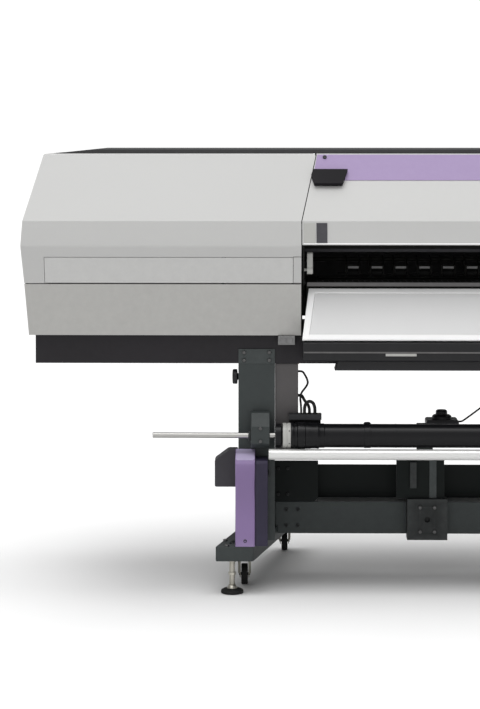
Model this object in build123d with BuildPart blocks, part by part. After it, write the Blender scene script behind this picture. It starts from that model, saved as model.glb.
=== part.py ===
from build123d import *
import os

os.makedirs("parts", exist_ok=True)

# ---------------------------------------------------------------- driving dimensions (mm)
# X to the right, Y to the back, Z up; origin on the floor under the middle of the machine
W2 = 1545.0            # half of the overall width
X_IN_R = 1065.0        # inner end of the right cabinet
MID = 225.5            # middle of the stand
Z_BOT = 861.0          # underside of the casings
Z_SPLIT = 1037.0       # joint between upper and lower casing
Z_FLAP = 1127.0        # top of the front flap
Z_TOP = 1467.0         # top of the casings
Y_BACK = 322.0         # rear of the casings
Z_TUBE = 528.0         # take-up axis
Y_TUBE = -340.0
R_TUBE = 39.3
Z_BAR = 469.5          # tension bar axis
Y_BAR = -368.0
R_BAR = 17.8
Z_ROLL = 725.0         # media supply axis
Y_ROLL = 330.0
Z_FEED = 1021.0        # feed roller axis
Y_FEED = -105.0
R_FEED = 20.0
R_PINCH = 12.0
SPLAY = 0.2575         # plan slope of the foot bars

# side profile of the casings (Y, Z), and the same one wall thickness inside
PROFILE = [(-321, Z_BOT), (-390, 1158), (-390, 1168), (-370, 1246), (-196, Z_TOP),
           (300, Z_TOP), (Y_BACK, 1440), (Y_BACK, Z_BOT)]
INNER = [(-315, Z_BOT - 5), (-386, 1158), (-386, 1167), (-366.2, 1244), (-194, Z_TOP - 4),
         (298, Z_TOP - 4), (Y_BACK - 4, 1438), (Y_BACK - 4, Z_BOT - 5)]
# front outlines (X, Z) of the left casing, outside and inside; the inner end stays open
LEFT = [(-1490, Z_TOP), (-1541, 1246), (-1545, 1165), (-1536, Z_SPLIT), (-1526, Z_BOT),
        (-614, Z_BOT), (-614, 1246), (-561, Z_TOP)]
LEFT_IN = [(-1485, Z_TOP), (-1537, 1246), (-1541, 1165), (-1532, Z_SPLIT), (-1522, Z_BOT - 5),
           (-500, Z_BOT - 5), (-500, Z_TOP)]
RIGHT = [(1490, Z_TOP), (1541, 1246), (1545, 1165), (1536, Z_SPLIT), (1526, Z_BOT),
         (1065, Z_BOT), (1065, 1246), (1012, Z_TOP)]
RIGHT_IN = [(1485, Z_TOP), (1537, 1246), (1541, 1165), (1532, Z_SPLIT), (1522, Z_BOT - 5),
            (950, Z_BOT - 5), (950, Z_TOP)]


def mx(x):
    """X of the same feature on the right-hand side of the stand."""
    return 2 * MID - x


def face_y(z):
    """Y of the sloping lower front of the casings at height z."""
    return -321 - (z - Z_BOT) * 69.0 / 297.0


def save(piece, name):
    piece.part.label = name
    export_step(piece.part, "parts/" + name + ".step")


# ---------------------------------------------------------------- side casings
with BuildPart() as left_void:
    with BuildSketch(Plane.YZ.offset(-1700)):
        with BuildLine():
            Polyline(*INNER, close=True)
        make_face()
    extrude(amount=1250)
    with BuildSketch(Plane.XZ.offset(-400)):
        with BuildLine():
            Polyline(*LEFT_IN, close=True)
        make_face()
    extrude(amount=900, mode=Mode.INTERSECT)

with BuildPart() as left_block:
    with BuildSketch(Plane.YZ.offset(-1700)):
        with BuildLine():
            Polyline(*PROFILE, close=True)
        make_face()
    extrude(amount=1250)
    with BuildSketch(Plane.XZ.offset(-400)):
        with BuildLine():
            Polyline(*LEFT, close=True)
        make_face()
    extrude(amount=900, mode=Mode.INTERSECT)

with BuildPart() as left_upper_casing:
    add(left_block.part)
    with BuildSketch(Plane.XY.offset(Z_SPLIT + 1.5)):
        Rectangle(4000, 2000)
    extrude(amount=-400, mode=Mode.SUBTRACT)
    fillet(left_upper_casing.edges().filter_by(lambda e: abs(e.center().Z - Z_TOP) < 1 and e.length > 300), 8)
    add(left_void.part, mode=Mode.SUBTRACT)
    # opening behind the long front flap
    with BuildSketch(Plane.XZ.offset(330)):
        with Locations(((-1468 - 640) / 2, (Z_SPLIT + Z_FLAP) / 2)):
            Rectangle(828, Z_FLAP - Z_SPLIT)
    extrude(amount=100, mode=Mode.SUBTRACT)
save(left_upper_casing, "left_upper_casing")

with BuildPart() as left_lower_casing:
    add(left_block.part)
    with BuildSketch(Plane.XY.offset(Z_SPLIT - 1.5)):
        Rectangle(4000, 2000)
    extrude(amount=600, mode=Mode.SUBTRACT)
    add(left_void.part, mode=Mode.SUBTRACT)
save(left_lower_casing, "left_lower_casing")

with BuildPart() as right_void:
    with BuildSketch(Plane.YZ.offset(900)):
        with BuildLine():
            Polyline(*INNER, close=True)
        make_face()
    extrude(amount=800)
    with BuildSketch(Plane.XZ.offset(-400)):
        with BuildLine():
            Polyline(*RIGHT_IN, close=True)
        make_face()
    extrude(amount=900, mode=Mode.INTERSECT)

with BuildPart() as right_block:
    with BuildSketch(Plane.YZ.offset(900)):
        with BuildLine():
            Polyline(*PROFILE, close=True)
        make_face()
    extrude(amount=800)
    with BuildSketch(Plane.XZ.offset(-400)):
        with BuildLine():
            Polyline(*RIGHT, close=True)
        make_face()
    extrude(amount=900, mode=Mode.INTERSECT)

with BuildPart() as right_upper_casing:
    add(right_block.part)
    with BuildSketch(Plane.XY.offset(Z_SPLIT + 1.5)):
        Rectangle(4000, 2000)
    extrude(amount=-400, mode=Mode.SUBTRACT)
    fillet(right_upper_casing.edges().filter_by(lambda e: abs(e.center().Z - Z_TOP) < 1 and e.length > 300), 8)
    add(right_void.part, mode=Mode.SUBTRACT)
save(right_upper_casing, "right_upper_casing")

with BuildPart() as right_lower_casing:
    add(right_block.part)
    with BuildSketch(Plane.XY.offset(Z_SPLIT - 1.5)):
        Rectangle(4000, 2000)
    extrude(amount=600, mode=Mode.SUBTRACT)
    add(right_void.part, mode=Mode.SUBTRACT)
    # bay opening for the ink bottles
    with BuildSketch(Plane.XZ.offset(300)):
        with Locations((1296, 950)):
            Rectangle(360, 140)
    extrude(amount=100, mode=Mode.SUBTRACT)
save(right_lower_casing, "right_lower_casing")

# long flap in the front of the left casing, hinged along its lower edge
with BuildPart() as left_flap:
    with BuildSketch(Plane.YZ.offset(-1466.5)):
        with BuildLine():
            Polyline((face_y(1040), 1040), (face_y(1125.5), 1125.5), (face_y(1125.5) + 3.5, 1125.5), (face_y(1040) + 3.5, 1040), close=True)
        make_face()
    extrude(amount=825)
    with BuildSketch(Plane.YZ.offset(-1440)):
        with BuildLine():
            Polyline((face_y(1046) + 3, 1041), (face_y(1046) + 3, 1051), (face_y(1046) + 14, 1051), (face_y(1046) + 14, 1041), close=True)
        make_face()
    extrude(amount=770)
    # round hinge rod along the lower edge
    with Locations(Location((-1054, face_y(1040) + 3.4, 1044), (0, 90, 0))):
        Cylinder(3.2, 800)
save(left_flap, "left_flap")

# ---------------------------------------------------------------- front cover over the print zone
COVER_OUT = [(-390, 1168), (-370, 1246), (-196, Z_TOP), (-120, Z_TOP), (-120, Z_TOP - 4), (-197.6, Z_TOP - 4),
             (-366, 1247), (-386, 1168)]
with BuildPart() as front_cover:
    with BuildSketch(Plane.YZ.offset(-700)):
        with BuildLine():
            Polyline(*COVER_OUT, close=True)
        make_face()
    extrude(amount=1900)
    with BuildSketch(Plane.XZ.offset(-400)):
        with BuildLine():
            Polyline((-558, Z_TOP + 1), (-611, 1246), (-611, 1100), (1062, 1100), (1062, 1246), (1009, Z_TOP + 1), close=True)
        make_face()
    extrude(amount=900, mode=Mode.INTERSECT)
    # hinge knuckles under the rear edge
    with BuildSketch(Plane.YZ.offset(-470)):
        with BuildLine():
            Polyline((-140, Z_TOP - 3), (-120, Z_TOP - 3), (-120, Z_TOP - 16), (-140, Z_TOP - 16), close=True)
        make_face()
    extrude(amount=80)
    with BuildSketch(Plane.YZ.offset(841)):
        with BuildLine():
            Polyline((-140, Z_TOP - 3), (-120, Z_TOP - 3), (-120, Z_TOP - 16), (-140, Z_TOP - 16), close=True)
        make_face()
    extrude(amount=80)
    with Locations(Location((-430, -130, Z_TOP - 12), (0, 90, 0)), Location((881, -130, Z_TOP - 12), (0, 90, 0))):
        Cylinder(3.05, 200, mode=Mode.SUBTRACT)
save(front_cover, "front_cover")

with BuildPart() as cover_hinge_pins:
    with Locations(Location((-430, -130, Z_TOP - 12), (0, 90, 0)), Location((881, -130, Z_TOP - 12), (0, 90, 0))):
        Cylinder(3, 110)
    with Locations(*[Location((x, -130, Z_TOP - 12), (0, 90, 0)) for x in (-480, -380, 831, 931)]):
        Cylinder(6.5, 12)
    with Locations(*[(x, -130.5, Z_TOP - 27.5) for x in (-480, -380, 831, 931)]):
        Box(12, 12, 31)
    with Locations(*[(x, -96.5, Z_TOP - 34) for x in (-480, -380, 831, 931)]):
        Box(12, 80, 18)

# coloured stripe and finger latch on the cover
SL = Plane(origin=(0, -196, Z_TOP), x_dir=(1, 0, 0), z_dir=(0, -(Z_TOP - 1246), 174))
with BuildPart() as cover_stripe:
    with BuildSketch(SL):
        with BuildLine():
            Polyline((-557, -4), (-576, -113), (mx(-576), -113), (mx(-557), -4), close=True)
        make_face()
    extrude(amount=1.6)
save(cover_stripe, "cover_stripe")

with BuildPart() as cover_latch:
    with BuildSketch(SL.offset(1.6)):
        with BuildLine():
            Polyline((-571, -76), (-455.6, -76), (-476, -141), (-567, -141), (-579, -98), close=True)
        make_face()
    extrude(amount=14)
    chamfer(cover_latch.faces().sort_by(Axis.Y)[0].edges(), 5)
save(cover_latch, "cover_latch")

# ---------------------------------------------------------------- chassis and print zone
with BuildPart() as chassis_beam:
    with Locations((0, -25, (763 + 858) / 2)):
        Box(3016, 530, 95)
    with Locations((0, -25, (763 + 858) / 2)):
        Box(3011, 525, 90, mode=Mode.SUBTRACT)
save(chassis_beam, "chassis_beam")

with BuildPart() as front_beam:
    with Locations((MID, -339.5, 814)):
        Box(1668, 97, 66)
    chamfer(front_beam.faces().sort_by(Axis.Y)[0].edges().filter_by(Axis.X), 6)
    with Locations((MID, -338.5, 814)):
        Box(1662, 89, 58, mode=Mode.SUBTRACT)

with BuildPart() as lower_duct:
    with BuildSketch(Plane.XZ.offset(310)):
        with BuildLine():
            Polyline((-493, 781), (mx(-493), 781), (mx(-503), 751), (-503, 751), close=True)
        make_face()
    extrude(amount=70)

with BuildPart() as front_heater:
    add(front_beam.part)
    add(lower_duct.part)
save(front_heater, "front_heater")

with BuildPart() as y_bar:
    with Locations((12.5, -80, 1205)):
        Box(2905, 90, 130)
    with Locations((12.5, -80, 1205)):
        Box(2897, 82, 122, mode=Mode.SUBTRACT)
    for x in (-880, 1330):
        with Locations((x, -20, 999)):
            Box(12, 160, 282)
    with Locations(Location((1410, -122, 1262), (90, 0, 0)), Location((-1390, -122, 1262), (90, 0, 0))):
        Cylinder(4.06, 12, mode=Mode.SUBTRACT)
save(y_bar, "y_bar")

with BuildPart() as linear_rail:
    with Locations((10, -131, 1215)):
        Box(2880, 12, 20)
    fillet(linear_rail.edges().filter_by(Axis.X), 1.5)
    with Locations(Location((10, -137, 1215), (90, 0, 0))):
        with GridLocations(120, 10, 23, 1):
            Hole(3, 8)
save(linear_rail, "linear_rail")

with BuildPart() as slot_end_plates:
    for x in (-606, 1057):
        with BuildSketch(Plane.YZ.offset(x - 2)):
            with BuildLine():
                Polyline((-300, 1022), (-352, 1058), (-374, 1160), (-350, 1244), (-290, 1320), (-290, 1045), (-60, 1045), (-60, 1000), (-270, 1000), close=True)
            make_face()
        extrude(amount=4)
    with Locations(Location((MID, Y_FEED, Z_FEED), (0, 90, 0))):
        Cylinder(14, 1760, mode=Mode.SUBTRACT)
    with Locations(Location((-606, -330, 1082), (0, 90, 0))):
        Cylinder(5.06, 10, mode=Mode.SUBTRACT)

with BuildPart() as platen:
    with Locations((MID, -195, 1033)):
        Box(1640, 270, 14)
    with Locations((MID, Y_FEED, 1033)):
        Box(1560, 46, 20, mode=Mode.SUBTRACT)
    with Locations((MID, Y_FEED, 1029)):
        Box(1660, 24, 8, mode=Mode.SUBTRACT)
    with Locations((MID, -212, 1040)):
        Box(1600, 8, 4, mode=Mode.SUBTRACT)
    with Locations((MID, -268, 1040)):
        with GridLocations(60, 40, 26, 2):
            Hole(1.6, 14)
save(platen, "platen")

with BuildPart() as platen_beam:
    with Locations((MID, -90, 925)):
        Box(1640, 150, 130)
    with Locations((MID, -212, 996)):
        Box(1640, 150, 60)
    with Locations((MID, -46, 1004)):
        Box(1640, 40, 32)
    # closed sheet-metal boxes, 3 mm walls
    with Locations((MID, -90, 925)):
        Box(1634, 144, 124, mode=Mode.SUBTRACT)
    with Locations((MID, -212, 996)):
        Box(1634, 144, 54, mode=Mode.SUBTRACT)

# ---------------------------------------------------------------- sloping apron under the slot
APR = Plane(origin=(0, -303, 1018), x_dir=(1, 0, 0), z_dir=(0, -163, 87))
with BuildPart() as apron_frame:
    with BuildSketch(APR):
        with BuildLine():
            Polyline((-588, 0), (-611, -184.8), (mx(-611), -184.8), (mx(-588), 0), close=True)
        make_face()
        with BuildLine():
            Polyline((-567, -17), (-587, -166), (mx(-587), -166), (mx(-567), -17), close=True)
        make_face(mode=Mode.SUBTRACT)
    extrude(amount=-12)
save(apron_frame, "apron_frame")

with BuildPart() as apron_panel:
    with BuildSketch(APR.offset(-3)):
        with BuildLine():
            Polyline((-566.6, -17.4), (-586.6, -165.6), (mx(-586.6), -165.6), (mx(-566.6), -17.4), close=True)
        make_face()
    extrude(amount=-6)
save(apron_panel, "apron_panel")

# ---------------------------------------------------------------- media feed
with BuildPart() as feed_roller:
    with Locations(Location((MID, Y_FEED, Z_FEED), (0, 90, 0))):
        Cylinder(10, 1740)
        Cylinder(R_FEED - 1, 1550)
    for i in range(17):
        with Locations(Location((MID + (i - 8) * 82.0, Y_FEED, Z_FEED), (0, 90, 0))):
            Cylinder(R_FEED, 60)
N_PINCH = 17
PITCH = 82.0
with BuildPart() as pinch_rollers:
    with Locations(Location((MID, Y_FEED, Z_FEED + R_FEED + R_PINCH + 0.3), (0, 90, 0))):
        Cylinder(3, 1420)
    for i in range(N_PINCH):
        with Locations(Location((MID + (i - 8) * PITCH, Y_FEED, Z_FEED + R_FEED + R_PINCH + 0.3), (0, 90, 0))):
            Cylinder(R_PINCH, 36)
save(pinch_rollers, "pinch_rollers")

with BuildPart() as pinch_arms:
    with Locations(Location((MID, -58, 1098), (0, 90, 0))):
        Cylinder(8, 1720)
    for i in range(N_PINCH):
        for s in (-1, 1):
            with BuildSketch(Plane.YZ.offset(MID + (i - 8) * PITCH + s * 23 - 2)):
                with BuildLine():
                    Polyline((-46, 1086), (-46, 1112), (-100, 1086), (-118, 1080), (-118, 1046), (-92, 1046), (-92, 1064), close=True)
                make_face()
            extrude(amount=4)
        with Locations((MID + (i - 8) * PITCH, -116, 1074)):
            Box(42, 3, 14)
    with Locations(Location((MID, Y_FEED, Z_FEED + R_FEED + R_PINCH + 0.3), (0, 90, 0))):
        Cylinder(3.06, 1500, mode=Mode.SUBTRACT)
save(pinch_arms, "pinch_arms")

with BuildPart() as clamp_brackets:
    for x in (-622, 1073):
        with Locations((x, -58, 1110)):
            Box(10, 40, 60)
    with Locations(Location((MID, -58, 1098), (0, 90, 0))):
        Cylinder(8.06, 1800, mode=Mode.SUBTRACT)

with BuildPart() as clamp_lever:
    with BuildSketch(Plane.YZ.offset(-594)):
        with Locations((-330, 1106)):
            RectangleRounded(24, 70, 8)
        with Locations((-330, 1082)):
            Circle(15)
    extrude(amount=19)
    fillet(clamp_lever.faces().sort_by(Axis.X)[-1].edges(), 3)
    with Locations(Location((-597, -330, 1082), (0, 90, 0))):
        Cylinder(5, 22)
save(clamp_lever, "clamp_lever")

with BuildPart() as feed_gear:
    with BuildSketch(Plane.YZ.offset(1078)):
        with Locations((Y_FEED, Z_FEED)):
            Circle(46)
            with PolarLocations(46, 40):
                Rectangle(5, 2.4)
            Circle(10, mode=Mode.SUBTRACT)
    extrude(amount=10)

with BuildPart() as feed_pinion:
    with BuildSketch(Plane.YZ.offset(1078)):
        with Locations((Y_FEED, Z_FEED - 62.4)):
            Circle(12)
            with PolarLocations(12.4, 12, start_angle=15):
                Rectangle(5, 2.2)
    extrude(amount=12)
    with Locations(Location((1100, Y_FEED, Z_FEED - 62.4), (0, 90, 0))):
        Cylinder(4, 30)
save(feed_pinion, "feed_pinion")

with BuildPart() as feed_motor:
    with Locations((1144, Y_FEED, Z_FEED - 62.4)):
        Box(56, 60, 60)
    fillet(feed_motor.edges().filter_by(Axis.X), 5)
    with Locations(Location((1110, Y_FEED, Z_FEED - 62.4), (0, 90, 0))):
        Cylinder(4.06, 40, mode=Mode.SUBTRACT)
    with Locations((1144, Y_FEED, 894)):
        Box(50, 50, 72)
save(feed_motor, "feed_motor")

with BuildPart() as feed_bearing_plates:
    for x in (-640, 1066):
        with Locations((x, Y_FEED, 968)):
            Box(8, 70, 220)
    with Locations(Location((MID, Y_FEED, Z_FEED), (0, 90, 0))):
        Cylinder(10.06, 1760, mode=Mode.SUBTRACT)

# ---------------------------------------------------------------- carriage and cutting head
with BuildPart() as carriage:
    with Locations((-1255, -221, 1215)):
        Box(250, 122, 150)
    fillet(carriage.edges().filter_by(Axis.Z), 12)
    with Locations((-1255, -144, 1215)):
        Box(120, 32, 60)
    with Locations((-1255, -151.6, 1275)):
        Box(40, 16.8, 10)
    with Locations((-1255, -131, 1215)):
        Box(140, 12.2, 20.2, mode=Mode.SUBTRACT)
    with Locations((-1110, -200, 1205)):
        Box(50, 60, 110)
    with Locations((-1104, -200, 1180)):
        Box(22, 22, 200, mode=Mode.SUBTRACT)
save(carriage, "carriage")

with BuildPart() as cutter_head:
    with Locations((-1104, -200, 1170)):
        Box(21.6, 21.6, 206)
    with Locations((-1104, -200, 1282)):
        Box(28, 28, 20)
    with Locations((-1104, -200, 1065)):
        Cylinder(7, 10)
    with Locations((-1104, -200, 1056)):
        Cone(1, 5, 8)
save(cutter_head, "cutter_head")

with BuildPart() as carriage_belt:
    with BuildSketch(Plane.XZ.offset(133)):
        with Locations((10, 1262)):
            SlotCenterToCenter(2800, 28)
            SlotCenterToCenter(2800, 25, mode=Mode.SUBTRACT)
    extrude(amount=10)
    # idler at the far end
    with Locations(Location((-1390, -138, 1262), (90, 0, 0))):
        Cylinder(12.2, 9)
    with Locations(Location((-1390, -134, 1262), (90, 0, 0))):
        Cylinder(4, 28)
save(carriage_belt, "carriage_belt")

with BuildPart() as belt_pulley:
    with Locations(Location((1410, -138, 1262), (90, 0, 0))):
        Cylinder(12.2, 9)
    with Locations(Location((1410, -134, 1262), (90, 0, 0))):
        Cylinder(4, 28)
save(belt_pulley, "belt_pulley")

with BuildPart() as print_frame:
    add(platen_beam.part)
    add(clamp_brackets.part)
    add(feed_bearing_plates.part)
    add(slot_end_plates.part)
save(print_frame, "print_frame")

with BuildPart() as feed_drive:
    add(feed_roller.part)
    add(feed_gear.part)
save(feed_drive, "feed_roller")

# ---------------------------------------------------------------- rear and top cover
with BuildPart() as rear_cover:
    with BuildSketch(Plane.XZ.offset(117)):
        with BuildLine():
            Polyline((-1466, Z_TOP + 0.4), (-1316, 1483), (1316, 1483), (1466, Z_TOP + 0.4), close=True)
        make_face()
    extrude(amount=-427)
    fillet(rear_cover.edges().filter_by(Axis.X).group_by(Axis.Z)[-1], 5)
    with Locations((0, 100, 1473)):
        Box(2600, 407, 12, mode=Mode.SUBTRACT)
    with Locations((MID, 130, 1446)):
        Box(1556, 380, 64)
    with Locations((MID, 132, 1441)):
        Box(1548, 372, 70, mode=Mode.SUBTRACT)
    with BuildSketch(Plane.XZ.offset(-316)):
        with BuildLine():
            Polyline((-611, 862), (-611, 1246), (-563, 1440), (mx(-563), 1440), (mx(-611), 1246), (mx(-611), 862), close=True)
        make_face()
    extrude(amount=-4)
    add(cover_hinge_pins.part)
save(rear_cover, "rear_cover")

# ---------------------------------------------------------------- stand
with BuildPart() as foot_bars:
    with BuildSketch(Plane.XY.offset(115)):
        with BuildLine():
            Polyline((-899.5, -390), (-772.5, -390), (-772.5 + SPLAY * 720, 330), (-899.5 + SPLAY * 720, 330), close=True)
        make_face()
        with BuildLine():
            Polyline((mx(-899.5), -390), (mx(-772.5), -390), (mx(-772.5 + SPLAY * 720), 330), (mx(-899.5 + SPLAY * 720), 330), close=True)
        make_face()
    extrude(amount=50)
    with BuildSketch(Plane.XY.offset(119)):
        with BuildLine():
            Polyline((-894, -384), (-776, -384), (-776 + SPLAY * 708, 324), (-894 + SPLAY * 708, 324), close=True)
        make_face()
        with BuildLine():
            Polyline((mx(-894), -384), (mx(-776), -384), (mx(-776 + SPLAY * 708), 324), (mx(-894 + SPLAY * 708), 324), close=True)
        make_face()
    extrude(amount=15, mode=Mode.SUBTRACT)
    chamfer(foot_bars.edges().filter_by(Axis.Z), 4)
    with Locations((-844, -340, 140), (mx(-844), -340, 140)):
        Hole(7.08, 80)
    with Locations((MID, -20, 193)):
        Box(1853, 80.4, 112.4, mode=Mode.SUBTRACT)
save(foot_bars, "foot_bars")

with BuildPart() as stand_columns:
    for x in (-762.5, mx(-762.5)):
        with Locations((x, -143, 464)):
            Box(123, 300, 598)
        with Locations((x, -143, 466)):
            Box(117, 294, 588, mode=Mode.SUBTRACT)
        with Locations((x, -292.1, 787)):
            Box(123, 3.6, 50)
    for x in (-706, mx(-700)):
        with BuildSketch(Plane.YZ.offset(x)):
            with BuildLine():
                Polyline((7, 690), (7, 760), (250, 762), (354, 745), (354, 700), (300, 690), close=True)
            make_face()
        extrude(amount=6)
    with Locations(Location((MID, Y_ROLL, Z_ROLL), (0, 90, 0))):
        Cylinder(12.06, 2000, mode=Mode.SUBTRACT)
save(stand_columns, "stand_columns")

with BuildPart() as cable_ducts:
    for x in (-661.5, mx(-661.5)):
        with Locations((x, -262, 610)):
            Box(78, 45, 305)
save(cable_ducts, "cable_ducts")

# curved covers on the front of the legs
with BuildPart() as leg_covers:
    for x in (-833, mx(-767.5)):
        with BuildSketch(Plane.YZ.offset(x)):
            with BuildLine():
                Polyline((-386, 452), (-297, 475), (-297, 165), (-390, 165))
                Spline((-390, 165), (-380, 225), (-364, 305), (-378, 395), (-390, 440), tangents=((0, 1), (0, 1)))
                Line((-390, 440), (-386, 452))
            make_face()
        extrude(amount=65.5)
    fillet(leg_covers.edges().filter_by(lambda e: e.length > 200 and e.center().Y < -350), 5)
save(leg_covers, "leg_covers")

with BuildPart() as leg_plates:
    for x in (-767, mx(-725)):
        with BuildSketch(Plane.YZ.offset(x)):
            with BuildLine():
                Polyline((-385, 165), (-359, 300), (-385, 440), (-380, 450), (-294, 450), (-294, 165), close=True)
            make_face()
        extrude(amount=42)
    with Locations(Location((MID, -332, 400), (0, 90, 0))):
        Cylinder(10.06, 2200, mode=Mode.SUBTRACT)
save(leg_plates, "leg_plates")

with BuildPart() as leg_boxes:
    for x, s in ((-903.6, 1), (mx(-903.6), -1)):
        with BuildSketch(Plane.XZ.offset(296)):
            with BuildLine():
                Polyline((x, 346), (x + s * 78, 346), (x + s * 78, 470), (x + s * 46, 470), (x, 436), close=True)
            make_face()
        extrude(amount=-66)
    chamfer(leg_boxes.edges().filter_by(Axis.Y), 3)
save(leg_boxes, "leg_boxes")

with BuildPart() as cross_beam:
    with Locations((MID, -20, 193)):
        Box(1851.6, 80, 112)
    with Locations((MID, -20, 193)):
        Box(1845.6, 74, 106, mode=Mode.SUBTRACT)
save(cross_beam, "cross_beam")

with BuildPart() as rear_panel:
    with Locations((MID, 17, 307)):
        Box(1549, 4, 116)
    with Locations((MID, 20, 363)):
        Box(1549, 10, 4)
    # gusset plates in the corners between the columns and the beam
    for a, b in ((-701, -549), (mx(-701), mx(-549))):
        with BuildSketch(Plane.XZ.offset(51)):
            with BuildLine():
                Polyline((a, 392), (b, 392), (b, 262), (b + (12 if a > b else -12), 249), (a, 249), close=True)
            make_face()
        extrude(amount=6)
save(rear_panel, "rear_panel")

with BuildPart() as mid_brackets:
    for x in (-172, mx(-172)):
        with Locations((x, -85, 197)):
            Box(139, 49.6, 142)
        with Locations((x - 23, -85, 342)):
            Box(166, 12, 150)
        with Locations((x - 8, -86, 473)):
            Box(56, 10, 113.6)
        with Locations((x - 48, -96, 350)):
            Box(22, 14, 90)
        with Locations(Location((x, -109, 197), (90, 0, 0))):
            with GridLocations(50, 84, 2, 2):
                Hole(4, 20)
            Hole(10, 12)
save(mid_brackets, "mid_brackets")

with BuildPart() as mid_blocks:
    for x in (-122, mx(-122)):
        with Locations((x, -100, 539)):
            Box(112, 70, 18)
        with Locations((x, -100, 553)):
            Cylinder(34, 18)
    fillet(mid_blocks.edges().filter_by(Axis.Y).group_by(Axis.Z)[-1], 8)
    fillet(mid_blocks.edges().filter_by(GeomType.CIRCLE).group_by(Axis.Z)[-1], 9)
    with Locations((-123, -100, 565)):
        Cylinder(5.06, 40, mode=Mode.SUBTRACT)
    # cable clamps on the ducts above the take-up hubs
    for x in (-600, mx(-600)):
        with Locations((x, -303.3, 587)):
            Box(110, 37.4, 18)
save(mid_blocks, "mid_blocks")

with BuildPart() as mid_knob:
    with Locations((-123, -100, 558)):
        Cylinder(5, 24)
    with Locations((-123, -100, 571)):
        Cylinder(20, 16)
    fillet(mid_knob.edges().group_by(Axis.Z)[-1], 7)
save(mid_knob, "mid_knob")

# ---------------------------------------------------------------- take-up
with BuildPart() as takeup_carriers:
    for x in (-781, mx(-718)):
        with BuildSketch(Plane.YZ.offset(x)):
            with BuildLine():
                Polyline((-294, 480), (-294, 603), (-330, 603), (-366, 560), (-366, 505), (-345, 487), close=True)
            make_face()
        extrude(amount=63)
    with Locations(Location((MID, Y_TUBE, Z_TUBE), (0, 90, 0))):
        Cylinder(9.36, 2100, mode=Mode.SUBTRACT)
save(takeup_carriers, "takeup_carriers")

with BuildPart() as takeup_tube:
    with Locations(Location((MID, Y_TUBE, Z_TUBE), (0, 90, 0))):
        Cylinder(R_TUBE, 1521)
        Cylinder(R_TUBE - 3, 1530, mode=Mode.SUBTRACT)
save(takeup_tube, "takeup_tube")

with BuildPart() as takeup_shaft:
    with Locations(Location(((-1109 + 1256) / 2, Y_TUBE, Z_TUBE), (0, 90, 0))):
        Cylinder(9.3, 2365)
    # the bare end is turned down to a shoulder
    with Locations(Location((-954, Y_TUBE, Z_TUBE), (0, 90, 0))):
        Cylinder(12, 312, mode=Mode.SUBTRACT)
        Cylinder(9.0, 312)
    chamfer(takeup_shaft.edges().filter_by(GeomType.CIRCLE).group_by(Axis.X)[0], 1)
save(takeup_shaft, "takeup_shaft")

with BuildPart() as takeup_hubs:
    for s, x0 in ((1, -535), (-1, mx(-535))):
        with Locations(Location((x0 + s * 10, Y_TUBE, Z_TUBE), (0, 90, 0))):
            Cylinder(R_TUBE - 3.1, 60)
        with Locations(Location((x0 - s * 33, Y_TUBE, Z_TUBE), (0, 90, 0))):
            Cylinder(44, 66)
        with Locations(Location((x0 - s * 78, Y_TUBE, Z_TUBE), (0, 90, 0))):
            Cylinder(45, 26)
        with Locations(Location((x0 - s * 102, Y_TUBE, Z_TUBE), (0, 90, 0))):
            Cylinder(43.5, 22)
        with Locations(Location((x0 - s * 126.5, Y_TUBE, Z_TUBE), (0, 90, 0))):
            Cylinder(42, 27)
        with Locations(Location((x0 - s * 141.5, Y_TUBE, Z_TUBE), (0, 90, 0))):
            Cylinder(30, 5)
        with Locations(Location((x0 - s * 154, Y_TUBE, Z_TUBE), (0, 90, 0))):
            Cylinder(40, 22)
    with Locations(Location((MID, Y_TUBE, Z_TUBE), (0, 90, 0))):
        Cylinder(9.3, 2400, mode=Mode.SUBTRACT)

with BuildPart() as takeup_gear:
    with BuildSketch(Plane.YZ.offset(1236)):
        with Locations((Y_TUBE, Z_TUBE)):
            Circle(36)
            with PolarLocations(36, 36):
                Rectangle(5, 2.0)
            Circle(9.3, mode=Mode.SUBTRACT)
    extrude(amount=10)

with BuildPart() as takeup_rotor:
    add(takeup_hubs.part)
    add(takeup_gear.part)
save(takeup_rotor, "takeup_hubs")

with BuildPart() as takeup_pinion:
    with BuildSketch(Plane.YZ.offset(1236)):
        with Locations((Y_TUBE, Z_TUBE + 50)):
            Circle(10)
            with PolarLocations(10.4, 12, start_angle=15):
                Rectangle(5, 1.8)
    extrude(amount=10)
    with Locations(Location((1256, Y_TUBE, Z_TUBE + 50), (0, 90, 0))):
        Cylinder(4, 40)
save(takeup_pinion, "takeup_pinion")

with BuildPart() as takeup_motor:
    with Locations((1300, -345, 590)):
        Box(80, 80, 92)
    fillet(takeup_motor.edges().filter_by(Axis.X), 10)
    with Locations((1268.5, -299, 590)):
        Box(13, 12, 60)
    with Locations(Location((1270, Y_TUBE, Z_TUBE + 50), (0, 90, 0))):
        Cylinder(4.06, 40, mode=Mode.SUBTRACT)
save(takeup_motor, "takeup_motor")

# tension bar on its two swing arms
with BuildPart() as tension_bar:
    with Locations(Location((MID, Y_BAR, Z_BAR), (0, 90, 0))):
        Cylinder(R_BAR, 1895)
    for x in (-722, mx(-718)):
        with BuildSketch(Plane.YZ.offset(x)):
            with BuildLine():
                Polyline((-382, 480), (-356, 484), (-318, 402), (-324, 388), (-340, 388), (-346, 398), close=True)
            make_face()
        extrude(amount=4)
    with Locations(Location((-738, -332, 400), (0, 90, 0)), Location((mx(-738), -332, 400), (0, 90, 0))):
        Cylinder(10, 44)
save(tension_bar, "tension_bar")

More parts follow.
